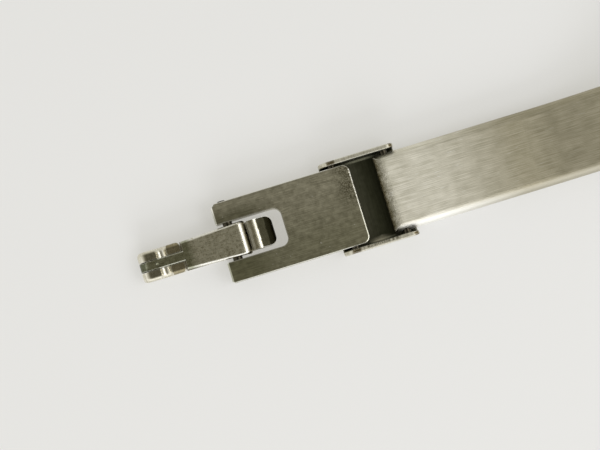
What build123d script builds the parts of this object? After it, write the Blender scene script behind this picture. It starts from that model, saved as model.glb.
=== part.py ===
from build123d import *
from math import atan2, cos, degrees, radians, sin
import os

os.makedirs("parts", exist_ok=True)

# Half of a steel watch bracelet, from the spring bar at the watch case to its fold-over clasp.
# X runs along the band towards the watch case, Y across it and Z from the outer side
# to the wrist side. The origin is the middle of the bridge link's outer face.
# All lengths are millimetres and all angles degrees.

# Bridge link: a short channel of bent sheet with a flange up each side
link_length = 7.8
link_height = 2.4
link_floor = 0.45
link_wall = 0.43
link_inner_bend = 0.35
flange_round_plate_end = 1.5
flange_round_arm_end = 0.7
flange_edge_chamfer = 0.08
plate_side_gap = 0.27
arm_side_gap = 0.32

# Hinges of the bridge link: both pins are fixed in its flanges and turn in what they carry
hinge_pin_radius = 0.4
hinge_axis_height = 1.25
hinge_round = 0.7
arm_hinge_reach = 2.8
plate_hinge_reach = 2.6
running_clearance = 0.04
shoulder_gap = 0.12

# Fork plate: solid plate with a slot for the clasp
plate_width = 8.2
plate_thickness = 2.0
plate_tail_reach = 1.65
plate_lip = 0.55
plate_length = 14.5
plate_tail_corner = 0.7
plate_edge_round = 0.2
plate_side_trim = 0.1
prong_chamfer = 0.45
prong_corner = 0.15
slot_width = 3.95
slot_depth = 6.6
slot_corner = 0.8

# Cross bar of the fork
bar_radius = 0.5
bar_set_back = 1.15
bar_height = 1.0
bar_stand = 0.15

# Fold-over clasp
clasp_height = 2.0
base_sheet = 0.45
base_width = 3.0
hook_reach = 4.35
hook_length = 2.5
hook_shoulder_radius = 1.2
hook_slope_angle = 32.0
hook_nose_radius = 0.6
hook_corner = 0.75
cover_sheet = 0.45
cover_width_at_knuckle = 2.9
cover_width_at_mouth = 3.48
cover_edge_round = 0.28
cover_bend = 0.85
mouth_gap = 0.18
curl_floor_gap = 0.15
clasp_pin_radius = 0.4
clasp_pin_reach = 8.7
knuckle_radius = 1.0
knuckle_gap = 0.05
knuckle_free_gap = 0.12
ear_width = 1.02
ear_round = 0.42
tongue_width = 0.96
tongue_thickness = 0.9
tongue_edge = 0.07
tongue_root = 0.3
cover_shoulder_reach = 3.65
block_length = 1.42
block_gap = 0.18
block_height = 1.9
neck_radius = 0.55
neck_depth = 0.5
dimple_radius = 0.18
dimple_reach = 0.85

# Band arm: a bent strip with rounded sides
arm_thickness = 2.0
arm_side_round = 0.85
arm_nose_corner = 0.75
arm_nose_trim = 0.1
arm_nose_reach = 1.25
arm_nose_crown = 1.05
arm_nose_drop = 0.5
arm_nose_under = 0.2
arm_flat_reach = 14.2
arm_bend_radius = 25.0
arm_bend_angle = 50.0
arm_end_length = 4.0

# Case end of the arm and its spring bar
lug_gap = 8.0
end_width = 7.8
end_notch_length = 2.6
end_barrel_radius = 1.25
tube_radius = 0.9
tube_bore_radius = 0.78
tube_end_gap = 0.1
tube_lip = 0.3
tube_clearance = 0.05
tip_radius = 0.4
tip_insertion = 0.8
tip_end_chamfer = 0.12
tip_guide_radius = 0.58
tip_head_length = 1.0
tip_head_gap = 0.05
spring_wire_radius = 0.08
spring_wire_sides = 4
spring_turns = 5

# One overrun carries every cut clear through what it cuts
overrun = 1.0

link_inner_width = plate_width + 2 * plate_side_gap
link_width = link_inner_width + 2 * link_wall
arm_width = link_inner_width - 2 * arm_side_gap
arm_pin_x = arm_hinge_reach
plate_pin_x = -plate_hinge_reach
relief_height = hinge_axis_height - hinge_round
plate_tail_x = plate_pin_x + plate_tail_reach
plate_tip_x = plate_tail_x - plate_length
bar_x = plate_tip_x + bar_set_back
clasp_pin_x = bar_x - clasp_pin_reach
hook_end_x = bar_x + hook_reach
hook_tip_x = hook_end_x - hook_length
cover_end_x = hook_tip_x - mouth_gap
cover_shoulder_x = clasp_pin_x + cover_shoulder_reach
block_end_x = cover_shoulder_x - block_gap
block_start_x = block_end_x - block_length
ear_offset = (tongue_width + ear_width) / 2 + knuckle_gap
tube_length = end_width - 2 * tube_end_gap
arm_nose_x = arm_pin_x - arm_nose_reach


def cross_rod(x, z, radius, length):
    """Round rod across the band, centred on its middle plane."""
    return Pos(x, 0, z) * Rot(90, 0, 0) * Cylinder(radius, length)


def across(profile, width):
    """Prism of a side profile, drawn in X and Z, across the band about its middle plane."""
    return extrude(Plane.XZ * profile, amount=width / 2, both=True)


def face_inside(edges):
    """Face inside a closed row of edges."""
    return make_face(Wire([edge.edge() for edge in edges]))


def rounded_end(length, width, radius, side):
    """Rectangle whose two corners on one side, 0 for the low X and -1 for the high, are round."""
    sheet = Rectangle(length, width)
    return fillet(sheet.vertices().group_by(Axis.X)[side], radius)


def bridge_link():
    floor_up = (Align.CENTER, Align.MIN)
    outer = Rectangle(link_width, link_height, align=floor_up)
    outer = fillet(outer.vertices().group_by(Axis.Y)[0], link_inner_bend + link_wall)
    inner = Rectangle(link_inner_width, link_height, align=floor_up)
    inner = fillet(inner.vertices().group_by(Axis.Y)[0], link_inner_bend)
    section = outer - Pos(0, link_floor) * inner
    channel = extrude(Plane.YZ * section, amount=link_length / 2, both=True)

    side = Rectangle(link_length, link_height, align=floor_up)
    side = fillet(side.vertices().group_by(Axis.Y)[-1].sort_by(Axis.X)[0], flange_round_plate_end)
    side = fillet(side.vertices().group_by(Axis.X)[-1].sort_by(Axis.Y)[-1], flange_round_arm_end)
    channel = channel & across(side, link_width)

    rims = channel.edges().filter_by(Axis.X).group_by(Axis.Z)[-1]
    channel = chamfer(rims, flange_edge_chamfer)
    channel -= cross_rod(arm_pin_x, hinge_axis_height, hinge_pin_radius, link_width)
    channel -= cross_rod(plate_pin_x, hinge_axis_height, hinge_pin_radius, link_width)
    return channel


def hinge_pin(x):
    return cross_rod(x, hinge_axis_height, hinge_pin_radius, link_width)


def plate_relief():
    """What the plate leaves free below its tail, so that it turns over the link's floor."""
    shoulder_x = -link_length / 2 - shoulder_gap
    lip_bottom = plate_thickness - plate_lip
    end_x = plate_tail_x + overrun
    lip_rise = lip_bottom - hinge_axis_height
    lip_run = (hinge_round**2 - lip_rise**2) ** 0.5
    lip_start_x = plate_pin_x + lip_run
    under_angle = 90 + degrees(atan2(lip_rise, lip_run))
    edges = [
        Line((shoulder_x, -overrun), (shoulder_x, relief_height)),
        Line((shoulder_x, relief_height), (plate_pin_x, relief_height)),
        CenterArc((plate_pin_x, hinge_axis_height), hinge_round, 270, under_angle),
        Line((lip_start_x, lip_bottom), (end_x, lip_bottom)),
        Line((end_x, lip_bottom), (end_x, -overrun)),
        Line((end_x, -overrun), (shoulder_x, -overrun)),
    ]
    return across(face_inside(edges), plate_width + 2 * overrun)


def plate_blank():
    """Rounded slab a little wider than the plate: trimming its sides leaves them a finer edge
    than the worn one at the tail."""
    width = plate_width + 2 * plate_side_trim
    slab = rounded_end(plate_length, width, plate_tail_corner + plate_side_trim, -1)
    slab = extrude(slab, amount=plate_thickness)
    faces = slab.faces().sort_by(Axis.Z)
    return fillet(faces[0].edges() + faces[-1].edges(), plate_edge_round)


def fork_plate():
    middle_x = (plate_tip_x + plate_tail_x) / 2
    plan = rounded_end(plate_length, plate_width, plate_tail_corner, -1)
    plan = chamfer(plan.vertices().group_by(Axis.X)[0].sort_by(Axis.Y)[-1], prong_chamfer)
    plan = chamfer(plan.vertices().group_by(Axis.X)[0].sort_by(Axis.Y)[0], prong_corner)
    slot = rounded_end(slot_depth + overrun, slot_width, slot_corner, -1)
    slot_middle = -plate_length / 2 + (slot_depth - overrun) / 2
    plan -= Pos(slot_middle, 0) * slot
    plate = Pos(middle_x, 0) * (plate_blank() & extrude(plan, amount=plate_thickness))
    plate -= plate_relief()
    plate -= cross_rod(plate_pin_x, hinge_axis_height, hinge_pin_radius + running_clearance, link_width)
    plate -= cross_rod(bar_x, bar_height, bar_radius, link_width)
    return plate


def fork_bar():
    """Bar that is flush with one side of the plate and stands a little proud of the other,
    where it was peened over."""
    bar = Pos(0, bar_stand / 2, 0) * cross_rod(bar_x, bar_height, bar_radius, plate_width + bar_stand)
    return chamfer(bar.edges().filter_by(GeomType.CIRCLE).sort_by(Axis.Y)[-1], bar_stand)


def clasp_hook():
    """Side profile of the base: its floor, and the end that turns up round its nose, leans back
    in a straight slope and bends over its shoulder into the tab beside the cover."""
    rise = clasp_height - hook_shoulder_radius - hook_nose_radius
    slope = radians(hook_slope_angle)
    between_centres = (hook_shoulder_radius - hook_nose_radius + rise * cos(slope)) / sin(slope)
    nose_x = hook_end_x - hook_nose_radius
    shoulder_x = nose_x - between_centres
    nose = (nose_x, hook_nose_radius)
    shoulder = (shoulder_x, clasp_height - hook_shoulder_radius)
    slope_normal = 90 - hook_slope_angle
    outer_nose = CenterArc(nose, hook_nose_radius, -90, 90 + slope_normal)
    inner_nose = CenterArc(nose, hook_nose_radius - base_sheet, -90, 90 + slope_normal)
    outer_shoulder = CenterArc(shoulder, hook_shoulder_radius, slope_normal, hook_slope_angle)
    inner_shoulder = CenterArc(shoulder, hook_shoulder_radius - base_sheet, slope_normal, hook_slope_angle)
    floor_start_x = clasp_pin_x + knuckle_radius + knuckle_free_gap
    tab_under = clasp_height - base_sheet
    edges = [
        Line((floor_start_x, 0), (nose_x, 0)),
        outer_nose,
        Line(outer_nose @ 1, outer_shoulder @ 0),
        outer_shoulder,
        Line((shoulder_x, clasp_height), (hook_tip_x, clasp_height)),
        Line((hook_tip_x, clasp_height), (hook_tip_x, tab_under)),
        Line((hook_tip_x, tab_under), (shoulder_x, tab_under)),
        inner_shoulder,
        Line(inner_shoulder @ 0, inner_nose @ 1),
        inner_nose,
        Line((nose_x, base_sheet), (floor_start_x, base_sheet)),
        Line((floor_start_x, base_sheet), (floor_start_x, 0)),
    ]
    return face_inside(edges)


def ear_profile():
    """Side profile of one ear of the base: knuckle, neck and the block beside the cover."""
    top = 2 * knuckle_radius
    neck_x = block_start_x - neck_radius
    corner = (Align.MIN, Align.MIN)
    ear = Pos(clasp_pin_x, knuckle_radius) * Circle(knuckle_radius)
    ear += Pos(clasp_pin_x, 0) * Rectangle(neck_x - clasp_pin_x, top, align=corner)
    ear += Pos(neck_x, 0) * Rectangle(block_end_x - neck_x, block_height, align=corner)
    ear -= Pos(neck_x, top + neck_radius - neck_depth) * Circle(neck_radius)
    return ear


def clasp_base():
    length = hook_end_x - block_end_x
    plan = Pos(block_end_x + length / 2, 0) * rounded_end(length, base_width, hook_corner, -1)
    root = Rectangle(block_end_x - clasp_pin_x, 2 * ear_offset, align=(Align.MAX, Align.CENTER))
    plan += Pos(block_end_x, 0) * root
    base = across(clasp_hook(), base_width) & extrude(plan, amount=clasp_height)
    ear = across(ear_profile(), ear_width)
    rim = ear.faces().sort_by(Axis.Y)[-1].edges()
    ear = fillet(rim, ear_round)
    ear = Pos(0, ear_offset, 0) * ear
    base += [ear, mirror(ear, about=Plane.XZ)]
    base -= cross_rod(clasp_pin_x, knuckle_radius, clasp_pin_radius, link_width)
    return base


def cover_top_profile():
    """Side profile of the cover's top before its hollow is cut, with the bent-down end."""
    end_z = base_sheet + curl_floor_gap
    top = Rectangle(cover_end_x - cover_shoulder_x, clasp_height - end_z, align=(Align.MIN, Align.MAX))
    top = fillet(top.vertices().group_by(Axis.X)[-1].sort_by(Axis.Y)[-1], cover_bend)
    return Pos(cover_shoulder_x, clasp_height) * top


def cover_hollow():
    """Side profile of what is left free under the cover's top, behind its bent-down end."""
    length = cover_end_x - cover_sheet - cover_shoulder_x + overrun
    hollow = Rectangle(length, clasp_height, align=(Align.MIN, Align.MAX))
    inner_bend = cover_bend - cover_sheet
    hollow = fillet(hollow.vertices().group_by(Axis.X)[-1].sort_by(Axis.Y)[-1], inner_bend)
    return Pos(cover_shoulder_x - overrun, clasp_height - cover_sheet) * hollow


def cover_plan():
    """Outline of the cover's top from above: it widens from the shoulder to the mouth."""
    half_start = cover_width_at_knuckle / 2
    half_end = cover_width_at_mouth / 2
    return Polygon(
        (cover_shoulder_x, -half_start),
        (cover_end_x, -half_end),
        (cover_end_x, half_end),
        (cover_shoulder_x, half_start),
        align=None,
    )


def cover_tongue():
    """Tongue of the cover with its knuckle, broken along its edges and rooted under the top."""
    length = cover_shoulder_x + tongue_root - clasp_pin_x
    profile = Pos(clasp_pin_x, knuckle_radius) * Circle(knuckle_radius)
    bar = Rectangle(length, tongue_thickness, align=(Align.MIN, Align.MAX))
    profile += Pos(clasp_pin_x, clasp_height) * bar
    tongue = across(profile, tongue_width)
    sides = tongue.faces().sort_by(Axis.Y)
    return chamfer(sides[0].edges() + sides[-1].edges(), tongue_edge)


def clasp_cover():
    cover = across(cover_top_profile(), link_width) & extrude(cover_plan(), amount=clasp_height)
    sides = cover.faces().sort_by(Axis.Y)
    rims = sides[0].edges() + sides[-1].edges()
    above_hem = rims.group_by(Axis.Z)[1:]
    rims = ShapeList(edge for group in above_hem for edge in group)
    shoulder_ends = rims.group_by(Axis.X)[0]
    cover = fillet(rims - shoulder_ends, cover_edge_round)
    cover -= across(cover_hollow(), link_width)
    cover += cover_tongue()
    cover -= cross_rod(clasp_pin_x, knuckle_radius, clasp_pin_radius + running_clearance, link_width)
    cover -= Pos(clasp_pin_x + dimple_reach, 0, clasp_height) * Sphere(dimple_radius)
    return cover


def clasp_pin():
    return cross_rod(clasp_pin_x, knuckle_radius, clasp_pin_radius, 2 * ear_offset + ear_width)


def arm_path():
    """Middle line of the arm's strip: flat at the bridge link, bent round the wrist, then straight."""
    middle_height = arm_thickness / 2
    start = (arm_nose_x - overrun, middle_height)
    flat = Line(start, (arm_pin_x + arm_flat_reach, middle_height))
    bend = JernArc(flat @ 1, flat % 1, arm_bend_radius, arm_bend_angle)
    end = PolarLine(bend @ 1, arm_end_length, direction=bend % 1)
    return flat, bend, end


def arm_relief():
    """What the arm leaves free round its nose, so that it turns over the link's floor."""
    shoulder_x = link_length / 2 + shoulder_gap
    high = arm_thickness + overrun
    far_x = arm_nose_x - 2 * overrun
    under_x = arm_pin_x - hinge_round
    tip_z = arm_thickness - arm_nose_drop
    tip_low_x = arm_nose_x + arm_nose_under
    crown_x = arm_nose_x + arm_nose_crown
    under_height = tip_z - hinge_axis_height
    edges = [
        Line((far_x, -overrun), (shoulder_x, -overrun)),
        Line((shoulder_x, -overrun), (shoulder_x, relief_height)),
        Line((shoulder_x, relief_height), (arm_pin_x, relief_height)),
        CenterArc((arm_pin_x, hinge_axis_height), hinge_round, 180, 90),
        Line((under_x, hinge_axis_height), (tip_low_x, hinge_axis_height)),
        EllipticalCenterArc((tip_low_x, tip_z), arm_nose_under, under_height, start_angle=180, arc_size=90),
        EllipticalCenterArc((crown_x, tip_z), arm_nose_crown, arm_nose_drop, start_angle=90, arc_size=90),
        Line((crown_x, arm_thickness), (crown_x, high)),
        Line((crown_x, high), (far_x, high)),
        Line((far_x, high), (far_x, -overrun)),
    ]
    return across(face_inside(edges), arm_width + 2 * overrun)


def arm_end_plane():
    """Plane at the spring bar's axis: its X runs on along the strip and its Z across the band."""
    end = arm_path()[-1]
    point = end @ 1
    direction = end % 1
    return Plane(origin=(point.X, 0, point.Y), x_dir=(direction.X, 0, direction.Y), z_dir=(0, 1, 0))


def spring_bar_rod(radius, length):
    return arm_end_plane() * Cylinder(radius, length)


def arm_plan_prism():
    """Room that the arm may fill, seen from above: it rounds the two corners of the nose."""
    case_end = arm_end_plane().origin
    start_x = arm_nose_x - arm_nose_trim
    length = case_end.X + arm_thickness - start_x
    plan = rounded_end(length, arm_width + 2 * arm_nose_trim, arm_nose_corner, 0)
    prism = extrude(plan, amount=case_end.Z + arm_thickness + overrun)
    return Pos(start_x + length / 2, 0, -overrun) * prism


def band_arm():
    flat, bend, end = arm_path()
    path = Plane.XZ * (Curve() + [flat, bend, end])
    start = Plane(origin=(arm_nose_x - overrun, 0, arm_thickness / 2), x_dir=(0, 1, 0), z_dir=(1, 0, 0))
    section = start * RectangleRounded(arm_width, arm_thickness, arm_side_round)
    arm = sweep(section, path=path)
    arm -= arm_relief()
    arm &= arm_plan_prism()
    for side in (-1, 1):
        notch = Box(end_notch_length + overrun, 2 * arm_thickness, arm_width)
        notch_x = (overrun - end_notch_length) / 2
        arm -= arm_end_plane() * Pos(notch_x, 0, side * (end_width + arm_width) / 2) * notch
    arm += spring_bar_rod(end_barrel_radius, end_width)
    arm -= spring_bar_rod(tube_radius + tube_clearance, end_width + overrun)
    arm -= cross_rod(arm_pin_x, hinge_axis_height, hinge_pin_radius + running_clearance, link_width)
    return arm


def spring_bar_tube():
    tube = Cylinder(tube_radius, tube_length)
    tube -= Cylinder(tube_bore_radius, tube_length - 2 * tube_lip)
    tube -= Cylinder(tip_guide_radius + running_clearance, tube_length)
    return arm_end_plane() * tube


def spring_bar_tip(side):
    """Stepped tip of the spring bar on one side, -1 or 1: its head stays behind the tube's lip,
    its guide slides in the lip and its end goes into the lug."""
    head_outer = tube_length / 2 - tube_lip - tip_head_gap
    lug_face = lug_gap / 2
    up = (Align.CENTER, Align.CENTER, Align.MIN)
    head_radius = tube_bore_radius - running_clearance
    head = Pos(0, 0, head_outer - tip_head_length) * Cylinder(head_radius, tip_head_length, align=up)
    guide = Pos(0, 0, head_outer) * Cylinder(tip_guide_radius, lug_face - head_outer, align=up)
    end = Pos(0, 0, lug_face) * Cylinder(tip_radius, tip_insertion, align=up)
    end = chamfer(end.edges().group_by(Axis.Z)[-1], tip_end_chamfer)
    tip = head + guide + end
    if side < 0:
        tip = mirror(tip, about=Plane.XY)
    return arm_end_plane() * tip


def spring_bar_spring():
    half = tube_length / 2 - tube_lip - tip_head_gap - tip_head_length
    coil_radius = tube_bore_radius - running_clearance - spring_wire_radius
    height = 2 * (half - spring_wire_radius)
    line = Helix(pitch=height / spring_turns, height=height, radius=coil_radius, center=(0, 0, -height / 2))
    wire = Plane(origin=line @ 0, z_dir=line % 0) * RegularPolygon(spring_wire_radius, spring_wire_sides)
    return arm_end_plane() * sweep(wire, path=line, is_frenet=True)


solids = {
    "band_arm": band_arm(),
    "bridge_link": bridge_link(),
    "arm_hinge_pin": hinge_pin(arm_pin_x),
    "plate_hinge_pin": hinge_pin(plate_pin_x),
    "fork_plate": fork_plate(),
    "fork_bar": fork_bar(),
    "clasp_base": clasp_base(),
    "clasp_cover": clasp_cover(),
    "clasp_pin": clasp_pin(),
    "spring_bar_tube": spring_bar_tube(),
    "spring_bar_spring": spring_bar_spring(),
    "spring_bar_tip_left": spring_bar_tip(1),
    "spring_bar_tip_right": spring_bar_tip(-1),
}

for name, solid in solids.items():
    export_step(solid, f"parts/{name}.step")
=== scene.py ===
import math

import bmesh
import bpy
from mathutils import Matrix, Vector


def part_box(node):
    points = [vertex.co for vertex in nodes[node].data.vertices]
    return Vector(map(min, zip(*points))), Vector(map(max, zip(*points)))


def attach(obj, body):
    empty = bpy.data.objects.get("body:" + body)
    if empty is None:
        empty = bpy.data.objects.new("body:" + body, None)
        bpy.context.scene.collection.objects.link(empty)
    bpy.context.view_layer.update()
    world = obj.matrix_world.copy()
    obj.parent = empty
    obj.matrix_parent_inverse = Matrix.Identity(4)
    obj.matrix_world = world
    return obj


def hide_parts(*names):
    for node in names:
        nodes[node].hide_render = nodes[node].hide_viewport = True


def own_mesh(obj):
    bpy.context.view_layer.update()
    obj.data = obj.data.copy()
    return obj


# Half of a steel watch bracelet, wrist side up on a pale table. Blender units are metres.
# X runs along the band towards the watch case, Y across it and Z up, as in the CAD.
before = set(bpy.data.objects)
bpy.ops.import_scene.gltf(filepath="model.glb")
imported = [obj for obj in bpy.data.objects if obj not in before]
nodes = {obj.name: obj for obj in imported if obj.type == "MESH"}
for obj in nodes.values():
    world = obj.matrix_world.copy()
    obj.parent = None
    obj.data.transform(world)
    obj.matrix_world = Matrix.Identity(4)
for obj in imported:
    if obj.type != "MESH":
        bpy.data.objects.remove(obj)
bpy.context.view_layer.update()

MM = 0.001
ALONG, ACROSS, UP = 0, 1, 2

# The photograph: its frame, where the bridge link's middle lies in it, its scale on the table
# and how far the band is turned from level
FRAME_WIDTH_PX = 600
FRAME_HEIGHT_PX = 450
LINK_MIDDLE_PX = (369, 199)
SCALE_MM_PER_PX = 0.1
BAND_TURN_DEG = 17.0

# The camera, which stands a little off the vertical, towards the picture's lower edge
CAMERA_TILT_DEG = 3.0
CAMERA_DISTANCE = 170 * MM
CAMERA_NEAR_LIMIT = 5 * MM
SENSOR_WIDTH_MM = 36.0

# The arm's middle line: flat, then a bend of one radius, then straight
BEND_START_X = 17 * MM
BEND_RADIUS = 25 * MM
BEND_ANGLE = math.radians(50)
STRIP_MIDDLE_Z = 1 * MM

# The spring bar's coil, whose middle stays in the middle of the tube
SPRING_WIRE_RADIUS = 0.08 * MM
SPRING_WIRE_SIDES = 8
SPRING_TURNS = 5
SPRING_STEPS_PER_TURN = 24

# How a noise is read: its middle value, how far it strays from there, and the part of its range
# over which steel goes from its dark to its light tone
NOISE_MIDDLE, NOISE_REACH = 0.5, 0.25
TONE_LOW, TONE_HIGH = 0.38, 0.62

# Steel: the depth of a brushed line, what patina takes off or adds to the roughness, and how
# rough a worn edge is beside the rest
LINE_DEPTH = 0.01 * MM
PATINA_SMOOTHS, PATINA_DULLS = 0.05, 0.07
WORN_ROUGHNESS_SHARE = 0.7

# Worn edges: how many rays look for one, and the cosine between a face and the rounded surface
# near it, on a sharp edge and on an open face
EDGE_SAMPLES = 6
WORN_EDGE_COSINE, OPEN_FACE_COSINE = 0.9, 0.995

# How much a rounded rim leans, from a hardly bent surface to one with full wear and painted
# highlight, where 0.25 is a lean of 45 degrees
RIM_LEAN_LOW, RIM_LEAN_HIGH = 0.005, 0.12

# Upward part of the normal: for all that looks up a little, and for flat tops alone
LOOKS_UP = (0.0, 0.15)
FLAT_TOP = (0.85, 0.98)

# How a mark is put on: laid over the steel, or multiplied with it, for stains and painted shade
# alike, so that its lines show through
LAID, STAIN_AND_SHADE = "MIX", "MULTIPLY"

# Sockets of a mix of colours: a mix has others of the same names, for numbers
COLOUR_A, COLOUR_B, COLOUR_OUT = 6, 7, 2

# How much shorter coordinates run along a mark than across it: it makes a scratch 14 times as
# long as it is wide, and a file mark 7 times
SCRATCH_SQUEEZE = 0.07
FILE_MARK_SQUEEZE = 0.15

# Beyond the strip's end, for a mark that runs out over it
PAST_END_MM = 60

# The room that the metal mirrors: how far from straight up its dim ceiling begins to go over into
# the walls and where it ends, and the cosine to the window's side at the darkest and palest wall
CEILING_CORE_DEG = 8
CEILING_EDGE_DEG = 46
CEILING_COLOUR = "#6a685e"
FAR_WALL_COLOUR = "#b6b5ae"
WINDOW_WALL_COLOUR = "#ffffff"
FAR_WALL_COSINE, WINDOW_WALL_COSINE = -0.8, 0.6
ROOM_STRENGTH = 1.25

# The windows' directions, in parts to the picture's right, up the picture and out of the table
WINDOW_SIDE = (0.5, -1.0, 0.0)
WINDOW_TOWARDS = (0.78, -0.12, 1.0)
LOW_WINDOW_TOWARDS = (0.4, -2.4, 1.0)
WINDOW_DISTANCE_MM = 420
WINDOW_SIZE_MM = (300, 200)
LOW_WINDOW_SIZE_MM = (300, 150)
WINDOW_POWER = 0.45
LOW_WINDOW_POWER = 1.2
DAYLIGHT = "#ffffff"

# The table, which lies a hair below the steel so that the two surfaces don't coincide
TABLE_HALF_WIDTH = 2.0
TABLE_DROP = 0.02 * MM
TABLE_PAINT = "#d9dade"
TABLE_ROUGHNESS = 0.6
TABLE_GLOW = "#e6e4dc"
TABLE_GLOW_SHARE = 0.55

# The picture's directions in the object's own frame: the camera looks down on the wrist side
turn = math.radians(BAND_TURN_DEG)
image_right = Vector((math.cos(turn), -math.sin(turn), 0))
image_up = Vector((math.sin(turn), math.cos(turn), 0))
upward = Vector((0, 0, 1))


def linear(code):
    """Opaque colour for a socket from an sRGB hex value."""
    channels = [int(code[i:i + 2], 16) / 255 for i in (1, 3, 5)]
    return [c / 12.92 if c <= 0.04045 else ((c + 0.055) / 1.055) ** 2.4 for c in channels] + [1.0]


def node(tree, kind, settings=None, links=None):
    """Adds a node to a tree, with its attributes and socket values, and links its inputs."""
    made = tree.nodes.new(kind)
    for key, value in (settings or {}).items():
        if isinstance(key, str) and hasattr(made, key):
            setattr(made, key, value)
        else:
            made.inputs[key].default_value = value
    for key, source in (links or {}).items():
        tree.links.new(source, made.inputs[key])
    return made


def new_material(name):
    """Material with an empty node tree, and that tree."""
    material = bpy.data.materials.new(name)
    material.use_nodes = True
    material.node_tree.nodes.clear()
    return material, material.node_tree


def rolled_out(tree, place):
    """Coordinates with the arm rolled out flat: run along the strip, width and depth."""
    split = node(tree, "ShaderNodeSeparateXYZ", links={0: place})
    along = node(tree, "ShaderNodeMath", {"operation": "SUBTRACT", 1: BEND_START_X},
                 {0: split.outputs[ALONG]}).outputs[0]
    below = node(tree, "ShaderNodeMath", {"operation": "SUBTRACT", 0: BEND_RADIUS + STRIP_MIDDLE_Z},
                 {1: split.outputs[UP]}).outputs[0]
    angle = node(tree, "ShaderNodeMath", {"operation": "ARCTAN2"}, {0: along, 1: below}).outputs[0]
    held = node(tree, "ShaderNodeClamp", {"Min": 0.0, "Max": BEND_ANGLE},
                {"Value": angle}).outputs[0]
    point = node(tree, "ShaderNodeCombineXYZ", links={0: along, 1: below}).outputs[0]
    turned = node(tree, "ShaderNodeVectorRotate", {"rotation_type": "Z_AXIS"},
                  {"Vector": point, "Angle": held})
    flat = node(tree, "ShaderNodeSeparateXYZ", links={0: turned.outputs[0]})
    run = node(tree, "ShaderNodeMath", {"operation": "MULTIPLY_ADD", 1: BEND_RADIUS},
               {0: held, 2: flat.outputs[0]}).outputs[0]
    return node(tree, "ShaderNodeCombineXYZ",
                links={0: run, 1: split.outputs[ACROSS], 2: flat.outputs[1]}).outputs[0]


def brushing(tree, place, sizes_mm):
    """Fine parallel lines: a noise drawn out along the axis whose size is the largest."""
    stretched = node(tree, "ShaderNodeMapping", {"Scale": [1 / (size * MM) for size in sizes_mm]},
                     {"Vector": place})
    return node(tree, "ShaderNodeTexNoise", {"Scale": 1.0, "Detail": 3.0, "Roughness": 0.6},
                {"Vector": stretched.outputs[0]}).outputs[0]


def ragged(tree, place, size_mm, shift_mm):
    """Coordinates shaken by a noise: what is drawn on them gets a mottled border."""
    noise = node(tree, "ShaderNodeTexNoise", {"Scale": 1 / (size_mm * MM), "Detail": 4.0},
                 {"Vector": place})
    centred = node(tree, "ShaderNodeVectorMath", {"operation": "SUBTRACT", 1: [NOISE_MIDDLE] * 3},
                   {0: noise.outputs["Color"]})
    stretch = shift_mm * MM / NOISE_REACH
    return node(tree, "ShaderNodeVectorMath", {"operation": "MULTIPLY_ADD", 1: [stretch] * 3},
                {0: centred.outputs[0], 2: place}).outputs[0]


def zone(tree, place, axis, low_mm, high_mm, soft_mm):
    """Mask that is 1 between two places along one axis, in the CAD's millimetres, and fades out
    over a soft width beyond each."""
    part = node(tree, "ShaderNodeSeparateXYZ", links={0: place}).outputs[axis]
    middle = (low_mm + high_mm) / 2
    half = (high_mm - low_mm) / 2
    away = node(tree, "ShaderNodeMath", {"operation": "SUBTRACT", 1: middle * MM}, {0: part})
    distance = node(tree, "ShaderNodeMath", {"operation": "ABSOLUTE"}, {0: away.outputs[0]})
    return node(tree, "ShaderNodeMapRange",
                {"From Min": (half + soft_mm) * MM, "From Max": half * MM},
                {"Value": distance.outputs[0]}).outputs[0]


def where_all(tree, *masks):
    """Mask of the places that all of the masks cover."""
    covered = masks[0]
    for mask in masks[1:]:
        covered = node(tree, "ShaderNodeMath", {"operation": "MULTIPLY"},
                       {0: covered, 1: mask}).outputs[0]
    return covered


def specks(tree, place, size_mm, low, high):
    """Mask of scattered spots: the higher the two limits, the rarer they are."""
    noise = node(tree, "ShaderNodeTexNoise", {"Scale": 1 / (size_mm * MM), "Detail": 2.0},
                 {"Vector": place})
    return node(tree, "ShaderNodeMapRange", {"From Min": low, "From Max": high},
                {"Value": noise.outputs[0]}).outputs[0]


def worn_edges(tree, radius_mm):
    """Mask that is 1 along the sharp edges, polished by handling, and 0 on the open faces."""
    soft = node(tree, "ShaderNodeBevel",
                {"samples": EDGE_SAMPLES, "Radius": radius_mm * MM}).outputs[0]
    face = node(tree, "ShaderNodeNewGeometry").outputs["Normal"]
    facing = node(tree, "ShaderNodeVectorMath", {"operation": "DOT_PRODUCT"},
                  {0: soft, 1: face}).outputs["Value"]
    return node(tree, "ShaderNodeMapRange",
                {"From Min": OPEN_FACE_COSINE, "From Max": WORN_EDGE_COSINE},
                {"Value": facing}).outputs[0]


def facing_up(tree):
    """How far the surface looks up: 1 on a flat top, 0 on an upright side, -1 underneath."""
    normal = node(tree, "ShaderNodeTexCoord").outputs["Normal"]
    return node(tree, "ShaderNodeSeparateXYZ", links={0: normal}).outputs[UP]


def rim_wear_and_highlight(tree):
    """Mask of the rounded rims, for their wear and painted highlight: 0 on the flats and the
    upright sides, 1 where the surface leans.
    """
    upright = facing_up(tree)
    square = node(tree, "ShaderNodeMath", {"operation": "MULTIPLY"},
                  {0: upright, 1: upright}).outputs[0]
    rest = node(tree, "ShaderNodeMath", {"operation": "SUBTRACT", 0: 1.0}, {1: square}).outputs[0]
    lean = node(tree, "ShaderNodeMath", {"operation": "MULTIPLY"}, {0: square, 1: rest}).outputs[0]
    return node(tree, "ShaderNodeMapRange", {"From Min": RIM_LEAN_LOW, "From Max": RIM_LEAN_HIGH},
                {"Value": lean}).outputs[0]


def upper_face(tree, limits):
    """Mask of the surfaces that look up, as the normal's upward part goes between two limits."""
    low, high = limits
    return node(tree, "ShaderNodeMapRange", {"From Min": low, "From Max": high},
                {"Value": facing_up(tree)}).outputs[0]


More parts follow.
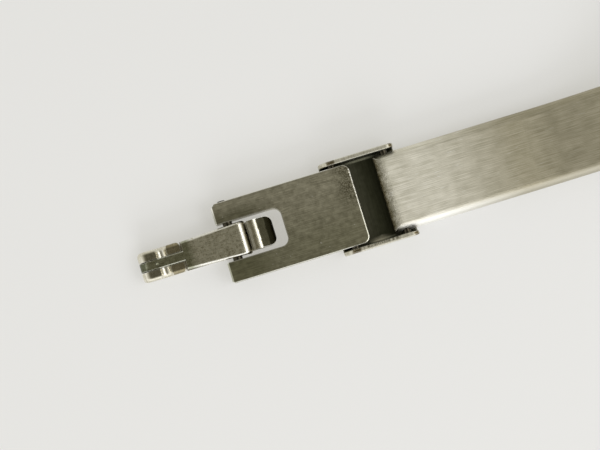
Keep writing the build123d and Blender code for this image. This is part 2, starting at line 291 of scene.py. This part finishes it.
def steel(tree, place, lines_mm, patina_mm, patina_share, roughness, groove, colours, edge_mm,
          marks):
    """Bare steel. Brushed lines and a cloudy patina set its tone between two colours, worn edges
    are brighter and smoother, and marks are masks with a colour, each laid over the rest or
    multiplied with it so that the lines still show. The lines' sizes are along X, Y and Z,
    groove is how strongly they catch the light, and the colours are those of the dark tone, the
    light tone and the worn edges."""
    dark, light, worn = colours
    lines = brushing(tree, place, lines_mm)
    patina = node(tree, "ShaderNodeTexNoise", {"Scale": 1 / (patina_mm * MM), "Detail": 4.0},
                  {"Vector": place}).outputs[0]
    edges = worn_edges(tree, edge_mm)
    mixed = node(tree, "ShaderNodeMix", {"Factor": patina_share}, {"A": lines, "B": patina})
    tone = node(tree, "ShaderNodeMapRange", {"From Min": TONE_LOW, "From Max": TONE_HIGH},
                {"Value": mixed.outputs[0]}).outputs[0]
    colour = None
    for mask, way, code in [(tone, LAID, light), *marks, (edges, LAID, worn)]:
        coat = node(tree, "ShaderNodeMix", {"data_type": "RGBA", "blend_type": way,
                                            COLOUR_A: linear(dark), COLOUR_B: linear(code)},
                    {"Factor": mask})
        if colour:
            tree.links.new(colour, coat.inputs[COLOUR_A])
        colour = coat.outputs[COLOUR_OUT]
    matt = node(tree, "ShaderNodeMapRange",
                {"To Min": roughness - PATINA_SMOOTHS, "To Max": roughness + PATINA_DULLS},
                {"Value": patina})
    smooth = node(tree, "ShaderNodeMix", {"B": roughness * WORN_ROUGHNESS_SHARE},
                  {"Factor": edges, "A": matt.outputs[0]})
    grooves = node(tree, "ShaderNodeBump", {"Strength": groove, "Distance": LINE_DEPTH},
                   {"Height": lines})
    shader = node(tree, "ShaderNodeBsdfPrincipled", {"Metallic": 1.0},
                  {"Base Color": colour, "Roughness": smooth.outputs[0],
                   "Normal": grooves.outputs[0]})
    node(tree, "ShaderNodeOutputMaterial", links={"Surface": shader.outputs[0]})


def plate_steel():
    """Satin stainless steel, brushed along the band on a fine belt: even matt lines and a bright
    rim, worn and with a painted highlight. It is darker towards its lower side, on the lower
    prong and on the upper prong beside the slot, and has grime at the upper corner of its tail,
    where the link rubs, and a few bright nicks. Lines of such a belt are about 0.02 mm wide.
    They are drawn 0.06 mm wide, so that they show."""
    material, tree = new_material("satin_brushed_steel")
    place = node(tree, "ShaderNodeTexCoord").outputs["Object"]
    rough_place = ragged(tree, place, size_mm=1.5, shift_mm=0.4)
    tail = where_all(tree, zone(tree, rough_place, ALONG, -1.9, -0.9, soft_mm=1.2),
                     zone(tree, rough_place, ACROSS, 1.2, 4.2, soft_mm=2.0),
                     specks(tree, place, size_mm=0.12, low=0.35, high=0.65))
    lower_side = zone(tree, rough_place, ACROSS, -4.4, -2.4, soft_mm=4.5)
    prong = where_all(tree, zone(tree, rough_place, ALONG, -15.6, -12.8, soft_mm=2.2),
                      zone(tree, rough_place, ACROSS, -4.4, -2.2, soft_mm=1.0))
    slot_side = where_all(tree, zone(tree, rough_place, ALONG, -15.6, -12.0, soft_mm=3.0),
                          zone(tree, rough_place, ACROSS, 1.9, 2.5, soft_mm=1.0))
    nicks = specks(tree, place, size_mm=0.3, low=0.72, high=0.76)
    steel(tree, place, lines_mm=(1.6, 0.06, 0.06), patina_mm=0.45, patina_share=0.3, roughness=0.3,
          groove=0.25, colours=("#a9a48f", "#d3ceb7", "#faf8f1"), edge_mm=0.2, marks=[
              # Rounded rims, lighter for wear and for a painted highlight
              (rim_wear_and_highlight(tree), LAID, "#f4f2ea"),
              (lower_side, STAIN_AND_SHADE, "#dadbd2"),
              (prong, STAIN_AND_SHADE, "#d9dad0"),
              (slot_side, STAIN_AND_SHADE, "#babab0"),
              (tail, STAIN_AND_SHADE, "#8f8b7c"),
              (nicks, LAID, "#dcd9cc"),
          ])
    return material


def band_steel():
    """Stainless steel, brushed along the strip on a coarse belt: pale from every side, with a
    painted highlight along its lower side, a few long scratches, painted shade towards the case,
    where it bends away, and speckled painted shade on its nose, which the link covers. Lines of
    such a belt are about 0.03 mm wide.
    They are drawn 0.06 mm wide, so that they show."""
    material, tree = new_material("belt_brushed_steel")
    body_place = node(tree, "ShaderNodeTexCoord").outputs["Object"]
    place = rolled_out(tree, body_place)
    rough_place = ragged(tree, body_place, size_mm=0.35, shift_mm=0.16)
    # Painted shade on the nose, where the link covers it; the flecks make it speckled
    nose = zone(tree, rough_place, ALONG, 1.0, 1.7, soft_mm=0.7)
    flecks = where_all(tree, zone(tree, rough_place, ALONG, 1.0, 1.9, soft_mm=1.0),
                       specks(tree, body_place, size_mm=0.09, low=0.42, high=0.62))
    # Painted shade where the arm bends away towards the case
    painted_bend_shade = zone(tree, body_place, ALONG, 15.5, PAST_END_MM, soft_mm=9)
    drawn_out = node(tree, "ShaderNodeMapping", {"Scale": (SCRATCH_SQUEEZE, 1, 1)},
                     {"Vector": place}).outputs[0]
    scratches = specks(tree, drawn_out, size_mm=0.12, low=0.68, high=0.74)
    # Painted highlight along the lower long side
    painted_highlight_side = zone(tree, place, ACROSS, -4.2, -3.7, soft_mm=0.4)
    steel(tree, place, lines_mm=(3.0, 0.06, 0.06), patina_mm=1.2, patina_share=0.2, roughness=0.48,
          groove=0.4, colours=("#d2cebb", "#fbf7ea", "#f8f5eb"), edge_mm=0.1, marks=[
              (painted_highlight_side, LAID, "#fdfcf6"),
              (scratches, LAID, "#fffef9"),
              (painted_bend_shade, STAIN_AND_SHADE, "#c1bdb0"),
              (nose, STAIN_AND_SHADE, "#777260"),
              (flecks, STAIN_AND_SHADE, "#a2a191"),
          ])
    return material


def link_steel():
    """Bent stainless sheet, brushed across its flanges: bright there, with dark file marks on the
    lower one and brown spots over the plate's pin and at the arm's end. Inside, the channel is
    darkened with painted shade, most of all next to the arm, but for a painted reflection in one
    corner. Lines of a coarse belt are about 0.05 mm wide. They are drawn 0.15 mm wide, so that
    they show."""
    material, tree = new_material("bent_sheet_steel")
    place = node(tree, "ShaderNodeTexCoord").outputs["Object"]
    rough_place = ragged(tree, place, size_mm=0.6, shift_mm=0.12)
    # Painted shade inside the channel, on its floor and the inner sides of the flanges
    inside = where_all(tree, zone(tree, place, ACROSS, -4.39, 4.39, soft_mm=0.02),
                       zone(tree, place, UP, 0.3, 2.34, soft_mm=0.03))
    # Painted reflection: a light patch inside the channel, by the lower flange
    painted_reflection_patch = where_all(tree, inside, zone(tree, rough_place, ALONG, -0.2, 0.3, soft_mm=0.9),
                       zone(tree, rough_place, ACROSS, -4.3, -4.0, soft_mm=0.3))
    # More painted shade in the channel, between the arm and the flanges
    beside_arm = where_all(tree, inside, zone(tree, rough_place, ALONG, 0.4, 3.9, soft_mm=1.8),
                           zone(tree, place, ACROSS, -4.0, 4.0, soft_mm=0.05))
    high = zone(tree, place, UP, 1.6, 2.6, soft_mm=0.2)
    over_pin = where_all(tree, high, zone(tree, rough_place, ALONG, -3.05, -2.3, soft_mm=0.15))
    at_end = where_all(tree, high, zone(tree, rough_place, ALONG, 3.45, 3.75, soft_mm=0.1))
    drawn_out = node(tree, "ShaderNodeMapping",
                     {"Scale": (1, FILE_MARK_SQUEEZE, FILE_MARK_SQUEEZE)},
                     {"Vector": place}).outputs[0]
    file_marks = where_all(tree, high, zone(tree, place, ALONG, -1.6, 1.8, soft_mm=0.4),
                           zone(tree, place, ACROSS, -4.6, -4.3, soft_mm=0.05),
                           specks(tree, drawn_out, size_mm=0.12, low=0.48, high=0.54))
    steel(tree, place, lines_mm=(0.15, 2.0, 2.0), patina_mm=0.5, patina_share=0.3, roughness=0.4,
          groove=0.15, colours=("#c3bfad", "#dedac9", "#f0eee4"), edge_mm=0.08, marks=[
              (file_marks, STAIN_AND_SHADE, "#9a9686"),
              (over_pin, STAIN_AND_SHADE, "#857b66"),
              (at_end, STAIN_AND_SHADE, "#857b66"),
              (inside, STAIN_AND_SHADE, "#777970"),
              (beside_arm, STAIN_AND_SHADE, "#a9aba0"),
              (painted_reflection_patch, LAID, "#a39f8c"),
          ])
    return material


def cover_steel():
    """Stamped stainless sheet with a satin top: short lines along it, rounded rims that are worn
    and carry a painted highlight, a soft mottled patina that is greener near the knuckle, a darker
    lip, a dark end to its tongue and pits 0.15 mm across. Lines of a fine belt are about 0.02 mm
    wide. They are drawn 0.07 mm wide, so that they show."""
    material, tree = new_material("stamped_steel")
    place = node(tree, "ShaderNodeTexCoord").outputs["Object"]
    rough_place = ragged(tree, place, size_mm=0.5, shift_mm=0.2)
    knuckle = zone(tree, rough_place, ALONG, -24.2, -18.9, soft_mm=0.8)
    lip = zone(tree, place, ALONG, -12.95, -12.5, soft_mm=0.2)
    tongue_end = zone(tree, rough_place, ALONG, -24.2, -23.4, soft_mm=0.3)
    pits = specks(tree, place, size_mm=0.15, low=0.56, high=0.64)
    steel(tree, place, lines_mm=(0.8, 0.07, 0.07), patina_mm=0.4, patina_share=0.35, roughness=0.27,
          groove=0.2, colours=("#b8b39d", "#e0dbc6", "#f8f7f0"), edge_mm=0.08, marks=[
              # Rounded rims, lighter for wear and for a painted highlight
              (rim_wear_and_highlight(tree), LAID, "#f4f2ea"),
              (knuckle, STAIN_AND_SHADE, "#bcbfb0"),
              (lip, STAIN_AND_SHADE, "#b1ad9f"),
              (tongue_end, STAIN_AND_SHADE, "#8f9183"),
              (pits, STAIN_AND_SHADE, "#d8d5c9"),
          ])
    return material


def base_steel():
    """Formed stainless strip, polished by use: broad soft highlights and faint streaks across the
    hook, with a darker line at its bend, a painted dark reflection down its slope and at its nose,
    darker tops on the blocks beside the cover, and a painted dark reflection on the flat tops of
    the ears. Such streaks are about 0.03 mm wide. They are drawn 0.08 mm wide, so that they show."""
    material, tree = new_material("polished_formed_steel")
    place = node(tree, "ShaderNodeTexCoord").outputs["Object"]
    rough_place = ragged(tree, place, size_mm=0.5, shift_mm=0.06)
    top = upper_face(tree, LOOKS_UP)
    bend = where_all(tree, top, zone(tree, rough_place, ALONG, -12.15, -11.9, soft_mm=0.12))
    # Painted dark reflection down the hook's slope
    painted_dark_slope = where_all(tree, top, zone(tree, rough_place, ALONG, -11.45, -9.8, soft_mm=0.1))
    # Painted dark reflection on the hook's nose
    nose = where_all(tree, top, zone(tree, rough_place, ALONG, -10.65, -9.8, soft_mm=0.1))
    blocks = where_all(tree, top, zone(tree, rough_place, ALONG, -20.85, -19.45, soft_mm=0.08))
    # Painted dark reflection on the flat tops of the ears
    ears = where_all(tree, upper_face(tree, FLAT_TOP),
                     zone(tree, rough_place, ALONG, -23.6, -22.1, soft_mm=0.3))
    steel(tree, place, lines_mm=(0.08, 1.2, 1.2), patina_mm=0.4, patina_share=0.4, roughness=0.26,
          groove=0.1, colours=("#d2cdb9", "#f6f2e4", "#f8f7f0"), edge_mm=0.08, marks=[
              (bend, STAIN_AND_SHADE, "#c6c2b2"),
              (painted_dark_slope, STAIN_AND_SHADE, "#4c4b3f"),
              (nose, STAIN_AND_SHADE, "#9a998d"),
              (blocks, STAIN_AND_SHADE, "#aba491"),
              (ears, STAIN_AND_SHADE, "#a5a295"),
          ])
    return material


def pin_steel(name, dark, light):
    """Drawn steel wire, cut and pushed in: smooth, with a thin uneven film of age and faint lines
    along it. Such lines are about 0.01 mm wide. They are drawn 0.06 mm wide, so that they show."""
    material, tree = new_material(name)
    place = node(tree, "ShaderNodeTexCoord").outputs["Object"]
    steel(tree, place, lines_mm=(0.06, 1.0, 0.06), patina_mm=0.3, patina_share=0.5, roughness=0.25,
          groove=0.15, colours=(dark, light, light), edge_mm=0.05, marks=[])
    return material


def half_spring(name, side, material):
    """Half of the coil, from the tube's middle to the tip on one side, -1 or 1. The two halves
    stand for the CAD spring, one for each tip, as each side of a real spring shortens on its own
    when its tip is pushed in. Here both are built at rest and move with the arm."""
    low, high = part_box("spring_bar_spring")
    centre = (low + high) / 2
    half_length = high.y - centre.y
    coil_radius = (high.x - low.x) / 2 - SPRING_WIRE_RADIUS
    coil_axis = Vector((0, 1, 0))
    coil_length = coil_axis * side * (half_length - SPRING_WIRE_RADIUS)
    steps = round(SPRING_TURNS / 2 * SPRING_STEPS_PER_TURN)
    section = [2 * math.pi * corner / SPRING_WIRE_SIDES for corner in range(SPRING_WIRE_SIDES)]
    coil = bmesh.new()
    rings = []
    for step in range(steps + 1):
        turned = 2 * math.pi * step / SPRING_STEPS_PER_TURN
        outward = Vector((math.cos(turned), 0, side * math.sin(turned)))
        wire = centre + outward * coil_radius + coil_length * step / steps
        rims = [outward * math.cos(angle) + coil_axis * math.sin(angle) for angle in section]
        rings.append([coil.verts.new(wire + rim * SPRING_WIRE_RADIUS) for rim in rims])
    for ring, further in zip(rings, rings[1:]):
        for corner in range(SPRING_WIRE_SIDES):
            coil.faces.new((ring[corner], ring[corner - 1], further[corner - 1], further[corner]))
    coil.faces.new(rings[0])
    coil.faces.new(rings[-1])
    bmesh.ops.recalc_face_normals(coil, faces=coil.faces)
    mesh = bpy.data.meshes.new(name)
    coil.to_mesh(mesh)
    coil.free()
    mesh.shade_smooth()
    mesh.materials.append(material)
    piece = bpy.data.objects.new(name, mesh)
    bpy.context.scene.collection.objects.link(piece)
    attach(piece, "arm")
    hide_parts("spring_bar_spring")
    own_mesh(piece)


def dress(names, material):
    """Gives CAD pieces their steel."""
    for name in names:
        slots = nodes[name].data.materials
        slots.clear()
        slots.append(material)


def image_direction(right, up, out):
    """Direction made of parts to the picture's right, up the picture and out of the table."""
    return (image_right * right + image_up * up + upward * out).normalized()


def place_camera():
    """Camera above the table, tilted a little, with the link where the photograph has it."""
    data = bpy.data.cameras.new("camera")
    data.sensor_width = SENSOR_WIDTH_MM
    data.lens = CAMERA_DISTANCE / (FRAME_WIDTH_PX * SCALE_MM_PER_PX * MM) * SENSOR_WIDTH_MM
    data.clip_start = CAMERA_NEAR_LIMIT
    camera = bpy.data.objects.new("camera", data)
    bpy.context.scene.collection.objects.link(camera)
    across_px = FRAME_WIDTH_PX / 2 - LINK_MIDDLE_PX[0]
    down_px = FRAME_HEIGHT_PX / 2 - LINK_MIDDLE_PX[1]
    target = (image_right * across_px - image_up * down_px) * SCALE_MM_PER_PX * MM
    link_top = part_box("bridge_link")[1].z
    target += upward * link_top
    tilt = math.radians(CAMERA_TILT_DEG)
    back = (upward * math.cos(tilt) - image_up * math.sin(tilt)).normalized()
    rotation = Matrix((image_right, back.cross(image_right), back)).transposed().to_4x4()
    camera.matrix_world = Matrix.Translation(target + back * CAMERA_DISTANCE) @ rotation
    bpy.context.scene.camera = camera


def softbox(name, direction, size_mm, power):
    """Rectangular soft lamp that looks at the link from a direction."""
    data = bpy.data.lights.new(name, "AREA")
    data.shape = "RECTANGLE"
    data.size, data.size_y = (side * MM for side in size_mm)
    data.energy = power
    data.color = linear(DAYLIGHT)[:3]
    lamp = bpy.data.objects.new(name, data)
    bpy.context.scene.collection.objects.link(lamp)
    lamp.location = direction * WINDOW_DISTANCE_MM * MM
    lamp.rotation_euler = direction.to_track_quat("Z", "Y").to_euler()
    return lamp


def light_room():
    """Pale walls all round, palest towards the window, and a dim ceiling, which flat metal
    mirrors."""
    world = bpy.data.worlds.new("room")
    bpy.context.scene.world = world
    world.use_nodes = True
    tree = world.node_tree
    tree.nodes.clear()
    direction = node(tree, "ShaderNodeTexCoord").outputs["Generated"]
    height = node(tree, "ShaderNodeSeparateXYZ", links={0: direction}).outputs[UP]
    ceiling = node(tree, "ShaderNodeMapRange",
                   {"interpolation_type": "SMOOTHSTEP",
                    "From Min": math.cos(math.radians(CEILING_EDGE_DEG)),
                    "From Max": math.cos(math.radians(CEILING_CORE_DEG))},
                   {"Value": height}).outputs[0]
    side = node(tree, "ShaderNodeVectorMath",
                {"operation": "DOT_PRODUCT", 1: image_direction(*WINDOW_SIDE)},
                {0: direction}).outputs["Value"]
    facing = node(tree, "ShaderNodeMapRange",
                  {"From Min": FAR_WALL_COSINE, "From Max": WINDOW_WALL_COSINE},
                  {"Value": side}).outputs[0]
    walls = node(tree, "ShaderNodeMix", {"data_type": "RGBA", COLOUR_A: linear(FAR_WALL_COLOUR),
                                         COLOUR_B: linear(WINDOW_WALL_COLOUR)},
                 {"Factor": facing}).outputs[COLOUR_OUT]
    room = node(tree, "ShaderNodeMix", {"data_type": "RGBA", COLOUR_B: linear(CEILING_COLOUR)},
                {"Factor": ceiling, COLOUR_A: walls}).outputs[COLOUR_OUT]
    air = node(tree, "ShaderNodeBackground", {"Strength": ROOM_STRENGTH}, {"Color": room})
    node(tree, "ShaderNodeOutputWorld", links={"Surface": air.outputs[0]})


def light_windows():
    """Two windows. The low one throws the object's soft shadow up the picture. It isn't mirrored,
    because no edge of the steel in the photograph shows it, so it lights only the table."""
    softbox("window", image_direction(*WINDOW_TOWARDS), WINDOW_SIZE_MM, WINDOW_POWER)
    low_window = softbox("low_window", image_direction(*LOW_WINDOW_TOWARDS), LOW_WINDOW_SIZE_MM,
                         LOW_WINDOW_POWER)
    low_window.visible_glossy = False


def table_material():
    """White laminate, smooth and even. To the camera and in reflections it is part paint and part
    even glow, so that it stays pale under and round the object and still keeps its shadow."""
    material, tree = new_material("white_laminate")
    paint = node(tree, "ShaderNodeBsdfPrincipled",
                 {"Base Color": linear(TABLE_PAINT), "Roughness": TABLE_ROUGHNESS})
    glow = node(tree, "ShaderNodeEmission", {"Color": linear(TABLE_GLOW), "Strength": 1.0})
    ray = node(tree, "ShaderNodeLightPath")
    seen = node(tree, "ShaderNodeMath", {"operation": "MAXIMUM"},
                {0: ray.outputs["Is Camera Ray"], 1: ray.outputs["Is Glossy Ray"]}).outputs[0]
    share = node(tree, "ShaderNodeMath", {"operation": "MULTIPLY", 1: TABLE_GLOW_SHARE},
                 {0: seen}).outputs[0]
    mixed = node(tree, "ShaderNodeMixShader",
                 links={0: share, 1: paint.outputs[0], 2: glow.outputs[0]})
    node(tree, "ShaderNodeOutputMaterial", links={"Surface": mixed.outputs[0]})
    return material


def lay_table():
    """Flat table under the bracelet."""
    half = TABLE_HALF_WIDTH
    mesh = bpy.data.meshes.new("table")
    corners = [(-half, -half, 0), (half, -half, 0), (half, half, 0), (-half, half, 0)]
    mesh.from_pydata(corners, [], [(0, 1, 2, 3)])
    table = bpy.data.objects.new("table", mesh)
    bpy.context.scene.collection.objects.link(table)
    mesh.materials.append(table_material())
    table.location.z = -TABLE_DROP


place_camera()
light_room()
light_windows()
lay_table()

bright_pin = pin_steel("bright_wire_steel", "#b5b2a4", "#d8d5c8")
# Painted shade: a darker copy of the wire steel for the pins that sit in shadowed gaps
shaded_pin = pin_steel("shaded_wire_steel", "#38352b", "#544f43")
dress(["fork_plate"], plate_steel())
dress(["band_arm"], band_steel())
dress(["bridge_link"], link_steel())
dress(["clasp_cover"], cover_steel())
dress(["clasp_base"], base_steel())
dress(["fork_bar", "plate_hinge_pin", "arm_hinge_pin"], shaded_pin)
dress(["clasp_pin", "spring_bar_tube", "spring_bar_tip_left", "spring_bar_tip_right"], bright_pin)
half_spring("spring_half_left", 1, bright_pin)
half_spring("spring_half_right", -1, bright_pin)

bpy.context.scene.view_settings.view_transform = "Standard"
